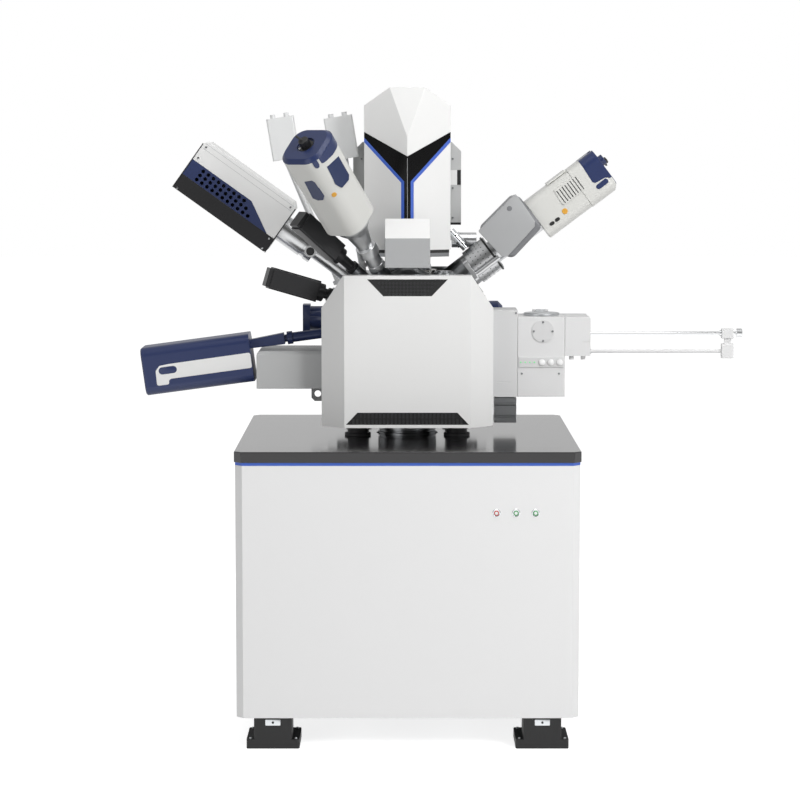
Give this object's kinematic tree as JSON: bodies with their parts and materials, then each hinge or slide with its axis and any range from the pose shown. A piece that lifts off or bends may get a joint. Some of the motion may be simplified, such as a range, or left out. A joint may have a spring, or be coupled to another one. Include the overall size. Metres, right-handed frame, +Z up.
{
  "type": "scanning electron microscope",
  "caption": "Floor-standing electron and ion beam microscope on a cabinet, with a sliding chamber door, a tilting stage, detectors and a transfer airlock.",
  "frame": {"origin": "on the floor, below the middle of the instrument's bounding box", "axes": "+Z up, -Y towards the operator in front, +X towards the transfer rod on the operator's right"},
  "size_m": [1.7583, 0.9605, 1.838],
  "materials": {
    "dark_tabletop": "semi-gloss",
    "blue_light": "lit",
    "white_sheet": "satin",
    "frame_steel": "satin",
    "grey_crate": "satin",
    "black_cast": "satin",
    "red_button": "satin",
    "green_button": "satin",
    "steel": "brushed",
    "machined_aluminium": "machined",
    "lens_steel": "turned",
    "seal_rubber": "matte",
    "white_cover": "satin",
    "black_plastic": "satin",
    "grey_cover": "satin",
    "navy_paint": "satin",
    "black_anodised": "satin",
    "panel_white": "satin",
    "button_white": "gloss"
  },
  "bodies": {
    "base": {"airlock_box": "grey_cover", "cabinet_cover": "white_sheet", "cabinet_frame": "frame_steel", "camera_slide_box": "grey_cover", "chamber_body": "machined_aluminium", "chamber_fittings": "steel", "column_cover": "white_cover", "column_tube": "lens_steel", "control_panel": "panel_white", "cover_insert": "black_plastic", "cover_lights": "blue_light", "electronics_crates": "grey_crate", "front_box": "white_cover", "gas_injectors": "white_cover", "gate_drive": "machined_aluminium", "gate_plate": "machined_aluminium", "guide_block": "grey_cover", "ion_barrel": "steel", "ion_cap": "navy_paint", "ion_cover": "white_cover", "ion_drive_box": "grey_cover", "isolators": "black_cast", "levelling_feet": "black_cast", "light_strip": "blue_light", "manipulators": "black_anodised", "objective_lens": "lens_steel", "rear_detectors": "black_anodised", "rear_housing": "grey_cover", "rear_panel": "white_sheet", "side_barrel": "steel", "side_cap": "navy_paint", "side_cover": "white_cover", "tabletop": "dark_tabletop", "turbo_pump": "steel", "valve_housing": "grey_cover"},
    "door": {"door_plate": "machined_aluminium", "door_seal": "seal_rubber", "front_cover": "white_cover", "cover_grille": "black_plastic", "cover_vent": "black_plastic"},
    "y_slide": {"stage_y_slide": "machined_aluminium"},
    "x_slide": {"stage_x_slide": "machined_aluminium"},
    "lift": {"stage_lift": "steel"},
    "cradle": {"tilt_cradle": "steel"},
    "turntable": {"turntable": "machined_aluminium", "specimen_stub": "machined_aluminium"},
    "xray_detector": {"xray_chassis": "black_anodised", "xray_grille": "navy_paint", "xray_cover": "white_cover", "xray_tube": "steel"},
    "camera": {"camera_body": "navy_paint"},
    "lid": {"airlock_lid": "grey_cover"},
    "carriage": {"transfer_carriage": "machined_aluminium"},
    "transfer_rod": {"transfer_rod": "steel"},
    "left_button": {"button_left": "red_button"},
    "middle_button": {"button_middle": "green_button"},
    "right_button": {"button_right": "green_button"},
    "panel_button_1": {"panel_button_1": "button_white"},
    "panel_button_2": {"panel_button_2": "button_white"},
    "panel_button_3": {"panel_button_3": "button_white"}
  },
  "joints": [
    {"name": "door_slide", "type": "slide", "parent": "base", "child": "door", "axis": [0, -1, 0], "range_m": [0, 0.3]},
    {"name": "stage_y", "type": "slide", "parent": "door", "child": "y_slide", "axis": [0, 1, 0], "range_m": [-0.035, 0.035]},
    {"name": "stage_x", "type": "slide", "parent": "y_slide", "child": "x_slide", "axis": [1, 0, 0], "range_m": [-0.035, 0.035]},
    {"name": "stage_z", "type": "slide", "parent": "x_slide", "child": "lift", "axis": [0, 0, -1], "range_m": [0, 0.04]},
    {"name": "stage_tilt", "type": "hinge", "parent": "lift", "child": "cradle", "pos_m": [-0.105, 0, 1.172], "axis": [0, 1, 0], "range_deg": [-10, 54]},
    {"name": "stage_rotate", "type": "hinge", "parent": "cradle", "child": "turntable", "pos_m": [-0.105, 0, 1.172], "axis": [0, 0, 1], "continuous": true},
    {"name": "xray_retract", "type": "slide", "parent": "base", "child": "xray_detector", "axis": [-0.8131, 0, 0.5821], "range_m": [0, 0.06]},
    {"name": "camera_retract", "type": "slide", "parent": "base", "child": "camera", "axis": [-0.9911, 0, -0.1331], "range_m": [0, 0.1]},
    {"name": "lid_open", "type": "hinge", "parent": "base", "child": "lid", "pos_m": [0.288, 0.0605, 1.187], "axis": [-1, 0, 0], "range_deg": [0, 95]},
    {"name": "transfer_slide", "type": "slide", "parent": "base", "child": "carriage", "axis": [-1, 0, 0], "range_m": [0, 0.36]},
    {"name": "rod_turn", "type": "hinge", "parent": "carriage", "child": "transfer_rod", "pos_m": [0.833, 0, 1.125], "axis": [1, 0, 0], "continuous": true},
    {"name": "left_button_press", "type": "slide", "parent": "base", "child": "left_button", "axis": [0, 1, 0], "range_m": [0, 0.0025], "stiffness_N_per_m": 500},
    {"name": "middle_button_press", "type": "slide", "parent": "base", "child": "middle_button", "axis": [0, 1, 0], "range_m": [0, 0.0025], "stiffness_N_per_m": 500},
    {"name": "right_button_press", "type": "slide", "parent": "base", "child": "right_button", "axis": [0, 1, 0], "range_m": [0, 0.0025], "stiffness_N_per_m": 500},
    {"name": "panel_button_1_press", "type": "slide", "parent": "base", "child": "panel_button_1", "axis": [0, 1, 0], "range_m": [0, 0.002], "stiffness_N_per_m": 500},
    {"name": "panel_button_2_press", "type": "slide", "parent": "base", "child": "panel_button_2", "axis": [0, 1, 0], "range_m": [0, 0.002], "stiffness_N_per_m": 500},
    {"name": "panel_button_3_press", "type": "slide", "parent": "base", "child": "panel_button_3", "axis": [0, 1, 0], "range_m": [0, 0.002], "stiffness_N_per_m": 500}
  ]
}
